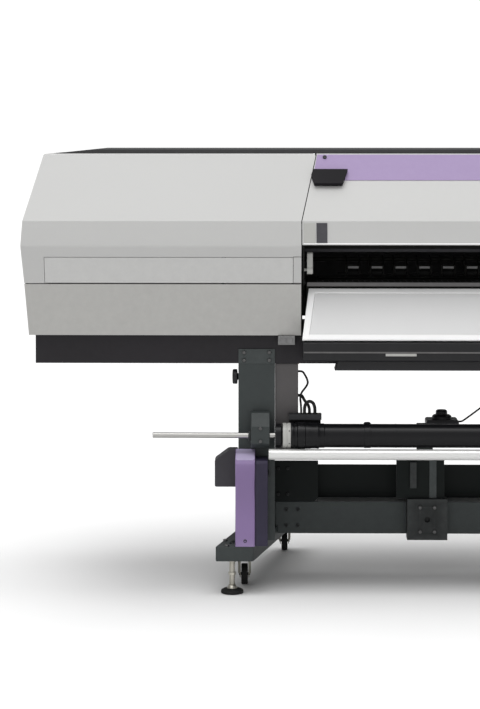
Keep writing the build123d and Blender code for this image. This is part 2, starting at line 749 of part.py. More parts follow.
# ---------------------------------------------------------------- media supply at the back
with BuildPart() as supply_roll:
    with Locations(Location((MID, Y_ROLL, Z_ROLL), (0, 90, 0))):
        Cylinder(12, 1890)
        Cylinder(38, 1640)
    with Locations(Location((-640, Y_ROLL, Z_ROLL), (0, 90, 0)), Location((mx(-640), Y_ROLL, Z_ROLL), (0, 90, 0))):
        Cylinder(60, 10)
        Cylinder(44, 60)
save(supply_roll, "supply_roll")

# ---------------------------------------------------------------- control panel and ink door
CP = Plane(origin=(1250, -300, 1334.9), x_dir=(1, 0, 0), z_dir=(0, -(Z_TOP - 1246), 174))
with BuildPart() as control_panel:
    with BuildSketch(CP.offset(1)):
        RectangleRounded(230, 130, 10)
    extrude(amount=20)
    with BuildSketch(CP.offset(21)):
        with Locations((-35, 18)):
            RectangleRounded(120, 70, 3)
    extrude(amount=-2, mode=Mode.SUBTRACT)
    with BuildSketch(CP.offset(21)):
        with Locations((75, 30)):
            Circle(11)
    extrude(amount=-8, mode=Mode.SUBTRACT)
    # hinge rod along the lower edge
    with Locations(Location(CP.origin - CP.y_dir * 63 + CP.z_dir * 3, (0, 90, 0))):
        Cylinder(2, 236)
save(control_panel, "control_panel")

with BuildPart() as power_button:
    with BuildSketch(CP.offset(17)):
        with Locations((75, 30)):
            Circle(10.6)
    extrude(amount=6.5)
    fillet(power_button.edges().group_by(SortBy.LENGTH)[-1].sort_by(Axis.Y)[0], 1.2)
save(power_button, "power_button")

with BuildPart() as ink_door:
    with BuildSketch(Plane.YZ.offset(1118)):
        with BuildLine():
            Polyline((face_y(882), 882), (face_y(1018), 1018), (face_y(1018) + 3.5, 1018), (face_y(882) + 3.5, 882), close=True)
        make_face()
    extrude(amount=356)
    with Locations(Location((1296, face_y(882) + 3.4, 886), (0, 90, 0))):
        Cylinder(3.2, 330)
save(ink_door, "ink_door")

# ---------------------------------------------------------------- feet
FEET = (("front_left", -804, -245), ("front_right", mx(-804), -245), ("rear_left", -664, 262), ("rear_right", mx(-664), 262))
for name, x, y in FEET:
    with BuildPart() as fork:
        with Locations((x, y, 111.5)):
            Box(60, 60, 7)
        with Locations((x, y, 102)):
            Cylinder(22, 12)
        for s in (-1, 1):
            with BuildSketch(Plane.YZ.offset(x + s * 15 - 1.5)):
                with BuildLine():
                    Polyline((y - 20, 98), (y + 20, 98), (y + 36, 40), (y + 28, 24), (y + 12, 24), (y + 4, 40), close=True)
                make_face()
            extrude(amount=3)
            # folded front lip of the fork
            with BuildSketch(Plane.YZ.offset(x + s * 17.75 - 4.25)):
                with BuildLine():
                    Polyline((y - 20, 98), (y + 4, 40), (y + 7, 40), (y - 17, 98), close=True)
                make_face()
            extrude(amount=8.5)
        with Locations((x, y, 96.5)):
            Box(33, 40, 3)
        with Locations(Location((x, y + 20, 35), (0, 90, 0))):
            Cylinder(5.06, 60, mode=Mode.SUBTRACT)
    save(fork, "caster_fork_" + name)
    with BuildPart() as wheel:
        with Locations(Location((x, y + 20, 35), (0, 90, 0))):
            Cylinder(35, 22)
            Cylinder(5, 38)
        fillet(wheel.edges().filter_by(GeomType.CIRCLE).group_by(SortBy.RADIUS)[-1], 4)
    save(wheel, "caster_wheel_" + name)

for name, x in (("left", -844), ("right", mx(-844))):
    with BuildPart() as foot:
        with Locations((x, -340, 8)):
            Cylinder(38, 16)
        chamfer(foot.edges().group_by(Axis.Z)[-1], 8)
        with Locations((x, -340, 20)):
            Cylinder(14, 10)
        with Locations((x, -340, 62)):
            Cylinder(7, 104)
        with Locations((x, -340, 69)):
            Cylinder(9.5, 90)
        with BuildSketch(Plane.XY.offset(60)):
            with Locations((x, -340)):
                RegularPolygon(13, 6)
        extrude(amount=11)
    save(foot, "levelling_foot_" + name)

# ---------------------------------------------------------------- cables held at both ends
CABLE_RADII = []


def arcs(points):
    """Radii for a fillet polyline: 0.45 of the shorter run over the tangent of half the turn."""
    from math import radians, tan
    out = []
    for a, b, c in zip(points, points[1:], points[2:]):
        u, v = Vector(b) - Vector(a), Vector(c) - Vector(b)
        out.append(0.45 * min(u.length, v.length) / tan(radians(u.get_angle(v)) / 2))
    CABLE_RADII.append([round(r, 1) for r in out])
    return out


LOOP = [(-622.4, -262, 733), (-607, -262, 733), (-593, -268, 710), (-589, -271, 694), (-597, -272, 680), (-612, -274, 662),
        (-616, -280, 644), (-614, -298, 628), (-613, -306, 612), (-613, -306, 596.1)]
HOSE = [(-602, -312, 596.1), (-602, -312, 616), (-598, -312, 631), (-586, -312, 640), (-573, -312, 634), (-567, -312, 618), (-567, -312, 596.1)]
TAIL = [(-622.4, -266, 652), (-610, -266, 652), (-601, -280, 636), (-590, -293, 626), (-585, -300, 612), (-585, -300, 596.1)]
LEAD = [(-65.9, -100, 538), (-53, -100, 538), (-40, -101, 547), (-12, -103, 568), (60, -109, 624), (112, -114, 668), (142, -118, 706), (151, -120, 736), (151, -120, 762.9)]
with BuildPart() as loop_cable:
    with BuildLine() as path:
        FilletPolyline(*LOOP, radius=arcs(LOOP))
    with BuildSketch(Plane(origin=LOOP[0], z_dir=Vector(LOOP[1]) - Vector(LOOP[0]))):
        Circle(3.5)
    sweep(path=path.wires()[0])
with BuildPart() as hose:
    with BuildLine() as path:
        FilletPolyline(*HOSE, radius=arcs(HOSE))
    with BuildSketch(Plane(origin=HOSE[0], z_dir=Vector(HOSE[1]) - Vector(HOSE[0]))):
        Circle(5.5)
    sweep(path=path.wires()[0])
with BuildPart() as tail_cable:
    with BuildLine() as path:
        FilletPolyline(*TAIL, radius=arcs(TAIL))
    with BuildSketch(Plane(origin=TAIL[0], z_dir=Vector(TAIL[1]) - Vector(TAIL[0]))):
        Circle(5)
    sweep(path=path.wires()[0])
with BuildPart() as lead_cable:
    with BuildLine() as path:
        FilletPolyline(*LEAD, radius=arcs(LEAD))
    with BuildSketch(Plane(origin=LEAD[0], z_dir=Vector(LEAD[1]) - Vector(LEAD[0]))):
        Circle(3)
    sweep(path=path.wires()[0])
with BuildPart() as cables:
    add(loop_cable.part)
    add(lead_cable.part)
    add(hose.part)
    add(tail_cable.part)
save(cables, "cables")
print("cable radii", CABLE_RADII)
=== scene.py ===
import bpy, bmesh, math
from mathutils import Vector, Matrix


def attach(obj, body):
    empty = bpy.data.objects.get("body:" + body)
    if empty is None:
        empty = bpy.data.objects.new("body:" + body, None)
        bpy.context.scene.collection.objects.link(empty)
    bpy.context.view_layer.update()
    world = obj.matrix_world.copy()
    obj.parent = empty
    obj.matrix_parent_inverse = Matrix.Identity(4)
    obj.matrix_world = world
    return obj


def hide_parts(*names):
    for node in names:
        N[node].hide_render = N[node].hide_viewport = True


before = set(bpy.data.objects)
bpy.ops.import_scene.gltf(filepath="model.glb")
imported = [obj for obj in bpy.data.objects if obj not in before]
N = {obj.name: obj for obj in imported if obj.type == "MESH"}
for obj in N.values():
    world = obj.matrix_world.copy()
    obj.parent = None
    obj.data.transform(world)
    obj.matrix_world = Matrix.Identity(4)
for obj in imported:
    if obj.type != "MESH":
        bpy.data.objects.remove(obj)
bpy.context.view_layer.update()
MM = 0.001
MID = 0.2255


def mx(x):
    return 2 * MID - x


# ---------------------------------------------------------------- camera
cam_data = bpy.data.cameras.new("view")
cam = bpy.data.objects.new("view", cam_data)
bpy.context.scene.collection.objects.link(cam)
bpy.context.scene.camera = cam
cam.location = (-0.718, -6.390, 1.548)
cam.rotation_euler = (math.radians(90 - 1.51), 0, math.radians(0.945))
cam_data.lens = 92.3
cam_data.sensor_width = 36
cam_data.shift_x = 0.0
cam_data.shift_y = -0.2490
cam_data.clip_end = 100


bpy.context.scene.view_settings.view_transform = "Standard"

# ---------------------------------------------------------------- materials
def new_mat(name):
    m = bpy.data.materials.new(name)
    m.use_nodes = True
    nt = m.node_tree
    b = nt.nodes["Principled BSDF"]
    return m, nt, b


def noise(nt, scale, detail=4.0, rough=0.55, stretch=None):
    tc = nt.nodes.new("ShaderNodeTexCoord")
    mp = nt.nodes.new("ShaderNodeMapping")
    nt.links.new(tc.outputs["Object"], mp.inputs["Vector"])
    if stretch:
        mp.inputs["Scale"].default_value = stretch
    n = nt.nodes.new("ShaderNodeTexNoise")
    n.inputs["Scale"].default_value = scale
    n.inputs["Detail"].default_value = detail
    n.inputs["Roughness"].default_value = rough
    nt.links.new(mp.outputs["Vector"], n.inputs["Vector"])
    return n


def ramp(nt, src, stops):
    r = nt.nodes.new("ShaderNodeValToRGB")
    e = r.color_ramp.elements
    e[0].position, e[0].color = stops[0][0], (*stops[0][1], 1)
    e[1].position, e[1].color = stops[1][0], (*stops[1][1], 1)
    for p, c in stops[2:]:
        x = e.new(p)
        x.color = (*c, 1)
    nt.links.new(src, r.inputs["Fac"])
    return r


def tone(c, k):
    return tuple(min(1.0, max(0.0, v * k)) for v in c)


def surface(name, color, rough=0.5, metallic=0.0, vary=0.05, scale=3.0, grain=900.0, bump=0.08, dist=0.0002,
            stretch=None, spread=0.06, wear=None, coat=0.0, spec=0.5):
    """Base colour with soft large-scale variation, a fine grain in the relief, roughness variation and edge wear."""
    m, nt, b = new_mat(name)
    big = noise(nt, scale, 3.0, 0.5, stretch)
    col = ramp(nt, big.outputs["Fac"], [(0.3, tone(color, 1 - vary)), (0.7, tone(color, 1 + vary))])
    out = col.outputs["Color"]
    fine = noise(nt, grain, 2.0, 0.6, stretch)
    mix = nt.nodes.new("ShaderNodeMixRGB")
    mix.blend_type = "MULTIPLY"
    mix.inputs["Fac"].default_value = 1.0
    fr = ramp(nt, fine.outputs["Fac"], [(0.25, (0.93, 0.93, 0.93)), (0.75, (1.0, 1.0, 1.0))])
    nt.links.new(out, mix.inputs["Color1"])
    nt.links.new(fr.outputs["Color"], mix.inputs["Color2"])
    out = mix.outputs["Color"]
    if wear:
        geo = nt.nodes.new("ShaderNodeNewGeometry")
        wr = ramp(nt, geo.outputs["Pointiness"], [(0.52, (0, 0, 0)), (0.60, (1, 1, 1))])
        wn = noise(nt, 40.0, 5.0, 0.7)
        wm = nt.nodes.new("ShaderNodeMath")
        wm.operation = "MULTIPLY"
        nt.links.new(wr.outputs["Color"], wm.inputs[0])
        nt.links.new(wn.outputs["Fac"], wm.inputs[1])
        w = nt.nodes.new("ShaderNodeMixRGB")
        nt.links.new(wm.outputs[0], w.inputs["Fac"])
        nt.links.new(out, w.inputs["Color1"])
        w.inputs["Color2"].default_value = (*wear, 1)
        out = w.outputs["Color"]
    nt.links.new(out, b.inputs["Base Color"])
    rr = nt.nodes.new("ShaderNodeMapRange")
    rr.inputs["To Min"].default_value = max(0.02, rough - spread)
    rr.inputs["To Max"].default_value = min(1.0, rough + spread)
    nt.links.new(big.outputs["Fac"], rr.inputs["Value"])
    nt.links.new(rr.outputs["Result"], b.inputs["Roughness"])
    b.inputs["Metallic"].default_value = metallic
    b.inputs["Specular IOR Level"].default_value = spec
    b.inputs["Coat Weight"].default_value = coat
    b.inputs["Coat Roughness"].default_value = 0.12
    bp = nt.nodes.new("ShaderNodeBump")
    bp.inputs["Strength"].default_value = bump
    bp.inputs["Distance"].default_value = dist
    nt.links.new(fine.outputs["Fac"], bp.inputs["Height"])
    nt.links.new(bp.outputs["Normal"], b.inputs["Normal"])
    return m


M = {}
M["casing"] = surface("casing", (0.475, 0.475, 0.468), 0.52, vary=0.02, scale=1.6, grain=1400, bump=0.10, wear=(0.54, 0.54, 0.53), spec=0.35)
M["lower"] = surface("lower_casing", (0.385, 0.377, 0.366), 0.52, vary=0.02, scale=1.6, grain=1400, bump=0.10, wear=(0.45, 0.45, 0.43), spec=0.35)
M["purple"] = surface("stripe_purple", (0.275, 0.200, 0.365), 0.45, vary=0.03, scale=3, grain=1200, bump=0.06, wear=(0.36, 0.29, 0.46), spec=0.3)
M["purple_leg"] = surface("leg_purple", (0.225, 0.155, 0.315), 0.45, vary=0.05, scale=5, grain=1200, bump=0.08, wear=(0.34, 0.27, 0.44), spec=0.3)
M["purple_dark"] = surface("plate_dark_purple", (0.022, 0.018, 0.038), 0.5, vary=0.12, scale=6, grain=900, bump=0.1, wear=(0.06, 0.055, 0.09), spec=0.25)
M["black"] = surface("black_plastic", (0.010, 0.010, 0.011), 0.42, vary=0.15, scale=5, grain=1100, bump=0.12, wear=(0.035, 0.035, 0.04), spec=0.25)
M["top"] = surface("dark_top_cover", (0.048, 0.048, 0.050), 0.6, vary=0.08, scale=2, grain=1200, bump=0.14, wear=(0.09, 0.09, 0.09), spec=0.2)
M["chassis"] = surface("chassis_steel", (0.014, 0.012, 0.015), 0.5, vary=0.12, scale=4, grain=700, bump=0.16, wear=(0.06, 0.06, 0.06), spec=0.22)
M["panel_black"] = surface("rear_panel_black", (0.006, 0.0085, 0.008), 0.5, vary=0.15, scale=4, grain=700, bump=0.12, spec=0.12)
M["steel_paint"] = surface("stand_powder_coat", (0.031, 0.038, 0.038), 0.48, vary=0.10, scale=4, grain=650, bump=0.2, dist=0.0003, wear=(0.09, 0.10, 0.10), spec=0.28)
M["bracket"] = surface("bracket_black", (0.014, 0.016, 0.016), 0.5, vary=0.12, scale=6, grain=650, bump=0.2, dist=0.0003, wear=(0.06, 0.065, 0.065), spec=0.22)
M["duct"] = surface("duct_grey", (0.090, 0.084, 0.085), 0.6, vary=0.07, scale=5, grain=800, bump=0.12, wear=(0.16, 0.16, 0.16), spec=0.25)
M["box"] = surface("box_grey", (0.040, 0.038, 0.044), 0.5, vary=0.08, scale=6, grain=900, bump=0.12, wear=(0.10, 0.10, 0.11), spec=0.25)
M["white"] = surface("apron_white", (0.90, 0.90, 0.90), 0.4, vary=0.008, scale=4, grain=900, bump=0.03)
M["panel"] = surface("apron_panel", (0.70, 0.70, 0.70), 0.55, vary=0.03, scale=2.2, grain=1500, bump=0.05, spec=0.35)
M["alu"] = surface("brushed_aluminium", (0.62, 0.62, 0.61), 0.34, metallic=1.0, vary=0.05, scale=3, grain=260, bump=0.10, stretch=(0.05, 1, 1), spread=0.10)
M["rod"] = surface("shaft_steel", (0.42, 0.415, 0.40), 0.30, metallic=1.0, vary=0.05, scale=3, grain=300, bump=0.08, stretch=(0.05, 1, 1), spread=0.08)
M["steel"] = surface("ground_steel", (0.42, 0.42, 0.41), 0.30, metallic=1.0, vary=0.06, scale=4, grain=420, bump=0.08, stretch=(1, 0.1, 1), spread=0.10)
M["zinc"] = surface("zinc_plate", (0.52, 0.50, 0.44), 0.34, metallic=1.0, vary=0.16, scale=30, grain=300, bump=0.1, spread=0.12)
M["screw"] = surface("dark_screw", (0.11, 0.11, 0.11), 0.36, metallic=1.0, vary=0.2, scale=60, grain=400, bump=0.1, spread=0.1)
M["rubber"] = surface("rubber", (0.013, 0.013, 0.013), 0.7, vary=0.15, scale=12, grain=800, bump=0.25, spec=0.2)
M["tube"] = surface("gloss_black_tube", (0.005, 0.005, 0.006), 0.30, vary=0.1, scale=3, grain=500, bump=0.03, spec=0.20)
# painted light: lighter grey for the lit top face of the lower beam
M["top_painted_light_grey"] = surface("beam_top_painted_light_grey", (0.13, 0.14, 0.138), 0.55, vary=0.08, scale=4, grain=700, bump=0.12, wear=(0.2, 0.2, 0.2), spec=0.3)
# painted light: lit copy of the leg purple for the top slopes of the leg covers
M["leg_top_painted_light"] = surface("leg_top_painted_light_purple", (0.47, 0.41, 0.60), 0.45, vary=0.04, scale=5, grain=1200, bump=0.06, spec=0.3)
M["slot"] = surface("slot_black", (0.011, 0.011, 0.0098), 0.6, vary=0.15, scale=5, grain=900, bump=0.12, wear=(0.03, 0.03, 0.028), spec=0.10)
M["handle"] = surface("latch_black", (0.008, 0.007, 0.009), 0.62, vary=0.12, scale=5, grain=1000, bump=0.12, wear=(0.03, 0.03, 0.03), spec=0.10)
M["core"] = surface("core_board", (0.36, 0.27, 0.17), 0.8, vary=0.1, scale=6, grain=300, bump=0.25)
M["media"] = surface("white_media", (0.72, 0.72, 0.70), 0.45, vary=0.01, scale=4, grain=500, bump=0.04)
M["light"] = surface("light_plastic", (0.42, 0.42, 0.40), 0.45, vary=0.04, scale=6, grain=900, bump=0.08)
M["dim"] = surface("dim_steel", (0.20, 0.20, 0.20), 0.42, metallic=0.8, vary=0.15, scale=12, grain=400, bump=0.1)
M["tension"] = surface("tension_bar_silver", (0.72, 0.72, 0.71), 0.34, metallic=0.35, vary=0.02, scale=2, grain=400, bump=0.04, stretch=(0.05, 1, 1), spread=0.05)
M["screen"] = surface("display_glass", (0.010, 0.014, 0.016), 0.10, vary=0.1, scale=8, grain=60, bump=0.01, coat=0.8)
M["seam"] = surface("seam_shadow", (0.12, 0.115, 0.11), 0.7, vary=0.05, scale=5, grain=900, bump=0.05)


def paint(node, mat):
    o = N[node]
    o.data.materials.clear()
    o.data.materials.append(M[mat])


PAINT = {
    "casing": ["left_upper_casing", "right_upper_casing", "front_cover", "left_flap"],
    "lower": ["left_lower_casing", "right_lower_casing", "ink_door"],
    "purple": ["cover_stripe"], "purple_leg": ["leg_covers"], "purple_dark": ["leg_plates"],
    "handle": ["cover_latch"], "black": ["carriage", "front_heater", "takeup_motor", "control_panel", "mid_blocks", "mid_knob"],
    "top": ["rear_cover"],
    "chassis": ["chassis_beam"], "panel_black": ["rear_panel"], "bracket": ["mid_brackets"],
    "steel_paint": ["stand_columns", "foot_bars", "cross_beam", "takeup_carriers"],
    "box": ["leg_boxes"],
    "white": ["apron_frame"], "panel": ["apron_panel"],
    "alu": ["cutter_head", "belt_pulley"], "rod": ["takeup_shaft"], "duct": ["cable_ducts"], "slot": ["platen", "pinch_arms", "print_frame", "y_bar"],
    "tension": ["tension_bar"], "dim": ["linear_rail", "feed_roller"],
    "steel": ["feed_pinion", "feed_motor", "takeup_pinion"],
    "rubber": ["pinch_rollers", "carriage_belt", "cables"],
    "tube": ["takeup_tube"], "core": ["supply_roll"], "light": ["clamp_lever", "power_button"],
}
for mat, nodes in PAINT.items():
    for n in nodes:
        paint(n, mat)
for n in N:
    if n.startswith("caster_fork") or n.startswith("levelling"):
        paint(n, "zinc")
    if n.startswith("caster_wheel"):
        paint(n, "rubber")


def soften(node, width, segments=3, angle=35):
    """Rounded edges on a carried-over piece."""
    o = N[node]
    w = o.modifiers.new("weld", "WELD")
    w.merge_threshold = 0.00002
    b = o.modifiers.new("bevel", "BEVEL")
    b.width = width
    b.segments = segments
    b.limit_method = "ANGLE"
    b.angle_limit = math.radians(angle)
    b.harden_normals = False
    o.data.polygons.foreach_set("use_smooth", [True] * len(o.data.polygons))
    s = o.modifiers.new("smooth", "WEIGHTED_NORMAL")
    s.keep_sharp = True


# ---------------------------------------------------------------- mesh helpers
def link(name, me, mat, body):
    o = bpy.data.objects.new(name, me)
    bpy.context.scene.collection.objects.link(o)
    if not me.materials:
        me.materials.append(M[mat])
    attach(o, body)
    return o


def from_bm(name, bm, mat, body, smooth=True, bevel=0.0, seg=2, angle=30):
    bmesh.ops.recalc_face_normals(bm, faces=bm.faces)
    me = bpy.data.meshes.new(name)
    if bevel > 0:
        edges = [e for e in bm.edges if len(e.link_faces) == 2 and e.calc_face_angle(0) > math.radians(angle)]
        bmesh.ops.bevel(bm, geom=edges, offset=bevel, segments=seg, profile=0.5, affect="EDGES", clamp_overlap=True)
    for f in bm.faces:
        f.smooth = smooth
    bm.to_mesh(me)
    bm.free()
    o = link(name, me, mat, body)
    if smooth:
        s = o.modifiers.new("smooth", "WEIGHTED_NORMAL")
        s.keep_sharp = True
    return o


def block(bm, lo, hi):
    c = [(a + b) / 2 for a, b in zip(lo, hi)]
    s = [b - a for a, b in zip(lo, hi)]
    return bmesh.ops.create_cube(bm, size=1, matrix=Matrix.Translation(c) @ Matrix.Diagonal((*s, 1)))


def lathe(name, profile, axis_at, axis, mat, body, n=64, closed=True):
    """Turned piece: profile of (along, radius), along a unit axis through axis_at."""
    bm = bmesh.new()
    a = Vector(axis).normalized()
    u = a.orthogonal().normalized()
    w = a.cross(u)
    rings = []
    for t, r in profile:
        rings.append([bm.verts.new(Vector(axis_at) + a * t + (u * math.cos(q) + w * math.sin(q)) * r)
                      for q in (2 * math.pi * i / n for i in range(n))])
    for r0, r1 in zip(rings, rings[1:]):
        for i in range(n):
            bm.faces.new((r0[i], r0[(i + 1) % n], r1[(i + 1) % n], r1[i]))
    if closed:
        bm.faces.new(rings[0][::-1])
        bm.faces.new(rings[-1])
    else:
        for i in range(n):
            bm.faces.new((rings[-1][i], rings[-1][(i + 1) % n], rings[0][(i + 1) % n], rings[0][i]))
    return from_bm(name, bm, mat, body, bevel=0.0)


def bolts(name, places, normal, r, h, mat, body, hexhead=False):
    """Screw heads with a socket, all in one mesh."""
    bm = bmesh.new()
    a = Vector(normal).normalized()
    u = a.orthogonal().normalized()
    w = a.cross(u)
    n = 6 if hexhead else 24
    for p in places:
        p = Vector(p)
        prof = [(-0.0005, r), (h * 0.6, r), (h, r * 0.82), (h, r * 0.5), (h * 0.45, r * 0.45)]
        rings = [[bm.verts.new(p + a * t + (u * math.cos(q) + w * math.sin(q)) * rr)
                  for q in (2 * math.pi * i / n for i in range(n))] for t, rr in prof]
        for r0, r1 in zip(rings, rings[1:]):
            for i in range(n):
                bm.faces.new((r0[i], r0[(i + 1) % n], r1[(i + 1) % n], r1[i]))
        bm.faces.new(rings[0][::-1])
        bm.faces.new(rings[-1])
    return from_bm(name, bm, mat, body, smooth=False)

# ---------------------------------------------------------------- edges of the carried-over pieces
for n, w in (("foot_bars", 0.004), ("stand_columns", 0.0025), ("cross_beam", 0.003), ("apron_frame", 0.002), ("cable_ducts", 0.004),
             ("front_heater", 0.002), ("chassis_beam", 0.002), ("leg_boxes", 0.003), ("leg_plates", 0.003),
             ("takeup_carriers", 0.003), ("rear_panel", 0.0012), ("cover_stripe", 0.0005), ("cover_latch", 0.003)):
    soften(n, w)
for n in ("tension_bar", "takeup_tube", "takeup_shaft", "supply_roll", "left_upper_casing", "right_upper_casing", "front_cover",
          "rear_cover", "leg_covers", "mid_blocks", "control_panel", "takeup_motor", "carriage", "cables"):
    o = N[n]
    if n in ("left_upper_casing", "right_upper_casing", "front_cover"):
        soften(n, 0.0016, 3, 20)

# ---------------------------------------------------------------- take-up hubs, turned in detail
AX = (0, -0.340, 0.528)
parts = []
for side, s, x0, tag in ((1, 1, -0.535, "left"), (-1, -1, mx(-0.535), "right")):
    at = (x0, AX[1], AX[2])
    d = (-s, 0, 0)
    cone = lathe("takeup_cone_" + tag, [(-0.035, 0.0093), (-0.035, 0.030), (-0.002, 0.0362), (0.0, 0.0395), (0.004, 0.0405), (0.018, 0.0405),
                                         (0.020, 0.0435), (0.026, 0.0440), (0.028, 0.0430), (0.046, 0.0430), (0.048, 0.0440), (0.0635, 0.0440),
                                         (0.0645, 0.0430), (0.0647, 0.0093)], at, d, "tube", "takeup", closed=False)
    ring = lathe("takeup_flange_" + tag, [(0.0647, 0.0093), (0.0647, 0.0440), (0.0660, 0.0450), (0.0895, 0.0450), (0.0908, 0.0438),
                                           (0.0908, 0.0093)], at, d, "tube", "takeup", closed=False)
    coll = lathe("takeup_collar_" + tag, [(0.0908, 0.0093), (0.0908, 0.0420), (0.0922, 0.0435), (0.0990, 0.0435), (0.1000, 0.0412), (0.1030, 0.0412),
                                           (0.1040, 0.0435), (0.1115, 0.0435), (0.1128, 0.0422), (0.1128, 0.0093)], at, d, "tube", "takeup", closed=False)
    hub = lathe("takeup_hub_ring_" + tag, [(0.1128, 0.0093), (0.1128, 0.0405), (0.1145, 0.0420), (0.1235, 0.0420), (0.1245, 0.0400), (0.1275, 0.0400),
                                            (0.1285, 0.0420), (0.1385, 0.0420), (0.1400, 0.0405), (0.1400, 0.0093)], at, d, "light", "takeup", closed=False)
    disc = lathe("takeup_disc_" + tag, [(0.1440, 0.0093), (0.1440, 0.0385), (0.1455, 0.0400), (0.1635, 0.0400), (0.1650, 0.0385), (0.1650, 0.0200),
                                         (0.1630, 0.0185), (0.1630, 0.0093)], at, d, "tube", "takeup", closed=False)
    neck = lathe("takeup_neck_" + tag, [(0.1395, 0.0093), (0.1395, 0.0300), (0.1445, 0.0300), (0.1445, 0.0093)], at, d, "tube", "takeup", closed=False)
    parts += [cone, ring, coll, hub, disc, neck]
    # clamp screws round the hub ring
    pl = []
    for k in range(6):
        q = math.pi / 6 + k * math.pi / 3
        pl.append((x0 - s * 0.1185, AX[1] + 0.0420 * math.cos(q), AX[2] + 0.0420 * math.sin(q)))
    for k, p in enumerate(pl):
        nrm = (0, p[1] - AX[1], p[2] - AX[2])
        bolts("hub_screw_%s_%d" % (tag, k), [p], nrm, 0.0022, 0.0014, "screw", "takeup")
gear_bm = bmesh.new()
Z0 = 36
prof = []
for i in range(Z0):
    a0 = 2 * math.pi * i / Z0
    st = 2 * math.pi / Z0
    for f, r in ((-0.26, 0.0358), (-0.15, 0.0382), (0.15, 0.0382), (0.26, 0.0358)):
        prof.append((a0 + f * st, r))
for x, flip in ((1.236, False), (1.246, True)):
    ring_o = [gear_bm.verts.new((x, AX[1] + r * math.cos(a), AX[2] + r * math.sin(a))) for a, r in prof]
    ring_i = [gear_bm.verts.new((x, AX[1] + 0.0094 * math.cos(a), AX[2] + 0.0094 * math.sin(a))) for a, r in prof]
    if not flip:
        first = (ring_o, ring_i)
    m_ = len(prof)
    for i in range(m_):
        gear_bm.faces.new((ring_o[i], ring_o[(i + 1) % m_], ring_i[(i + 1) % m_], ring_i[i]))
    if flip:
        for i in range(m_):
            gear_bm.faces.new((first[0][i], first[0][(i + 1) % m_], ring_o[(i + 1) % m_], ring_o[i]))
            gear_bm.faces.new((first[1][i], first[1][(i + 1) % m_], ring_i[(i + 1) % m_], ring_i[i]))
gear = from_bm("takeup_wheel_gear", gear_bm, "steel", "takeup", smooth=False)
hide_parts("takeup_hubs")

# tension bar: drawn tube with chamfered ends on two black swing arms
bar = lathe("tension_bar_tube", [(0, 0.0162), (0.0015, 0.0178), (1.8935, 0.0178), (1.895, 0.0162)], (-0.722, -0.368, 0.4695), (1, 0, 0), "tension", "tension_bar", n=96)
for tag, x in (("left", -0.722), ("right", mx(-0.718))):
    bm = bmesh.new()
    pts = [(-0.382, 0.480), (-0.356, 0.484), (-0.318, 0.402), (-0.324, 0.388), (-0.340, 0.388), (-0.346, 0.398)]
    va = [bm.verts.new((x, y, z)) for y, z in pts]
    vb = [bm.verts.new((x + 0.004, y, z)) for y, z in pts]
    bm.faces.new(va)
    bm.faces.new(vb[::-1])
    for i in range(6):
        bm.faces.new((va[i], va[(i + 1) % 6], vb[(i + 1) % 6], vb[i]))
    from_bm("tension_arm_" + tag, bm, "bracket", "tension_bar", smooth=False, bevel=0.0008, seg=2)
for tag, x in (("left", -0.760), ("right", mx(-0.716))):
    lathe("tension_pivot_" + tag, [(0, 0.0085), (0.0015, 0.0100), (0.0425, 0.0100), (0.044, 0.0085)], (x, -0.332, 0.400), (1, 0, 0), "bracket", "tension_bar", n=40)
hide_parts("tension_bar")

# slim clamp band with its screw on the tube
lathe("tube_band", [(0, 0.0394), (0, 0.0404), (0.001, 0.0409), (0.021, 0.0409), (0.022, 0.0404), (0.022, 0.0394)], (-0.404, AX[1], AX[2]), (1, 0, 0),
      "tube", "takeup", closed=False)
lathe("tube_band_screw", [(0.0385, 0.012), (0.042, 0.012), (0.044, 0.010), (0.0455, 0.007), (0.0458, 0.003)], (-0.393, AX[1], AX[2]), (0, 0.15, 1),
      "tube", "takeup", n=32)
for i, x in enumerate((-0.30, 0.02, 0.43, 0.75)):
    lathe("tube_joint_%d" % i, [(0, 0.0392), (0, 0.0399), (0.004, 0.0399), (0.004, 0.0392)], (x, AX[1], AX[2]), (1, 0, 0), "tube", "takeup", closed=False)
# a bearing ring on the carrier and two carrier screws
lathe("shaft_bearing", [(0, 0.0096), (0, 0.0165), (0.002, 0.018), (0.008, 0.018), (0.009, 0.0165), (0.009, 0.0096)], (-0.781 - 0.009, AX[1], AX[2]), (1, 0, 0),
      "bracket", "frame", closed=False)
bolts("carrier_screws", [(-0.7495, -0.3665, 0.555), (-0.7495, -0.3665, 0.512)], (0, -1, 0), 0.006, 0.004, "screw", "frame")

# ---------------------------------------------------------------- casings: seams, groove, vents and plates
def face_y(z):
    return (-321 - (z * 1000 - 861) * 69.0 / 297.0) * MM


bm = bmesh.new()
for z, h, x0, x1 in ((1.1272, 0.0022, -0.641, -0.6145), (1.0385, 0.0022, -0.641, -0.6145)):
    v = [bm.verts.new(p) for p in ((x0, face_y(z) - 0.0004, z), (x1, face_y(z) - 0.0004, z), (x1, face_y(z + h) - 0.0004, z + h), (x0, face_y(z + h) - 0.0004, z + h))]
    w = [bm.verts.new(p.co + Vector((0, 0.0008, 0))) for p in v]
    bm.faces.new(v)
    bm.faces.new(w[::-1])
    for i in range(4):
        bm.faces.new((v[i], v[(i + 1) % 4], w[(i + 1) % 4], w[i]))
from_bm("casing_groove_end", bm, "seam", "frame", smooth=False)

# louvres on the outer side of each casing
for tag, s in (("left", -1), ("right", 1)):
    bm = bmesh.new()
    for k in range(9):
        z = 0.905 + k * 0.013
        x = s * (1.5260 + (z - 0.861) * 10 / 176.0 * 1.0 + 0.0005)
        block(bm, (x - 0.0012, -0.02, z), (x + 0.0012, 0.22, z + 0.005))
    from_bm("side_louvres_" + tag, bm, "seam", "frame", smooth=False, bevel=0.0006, seg=1)

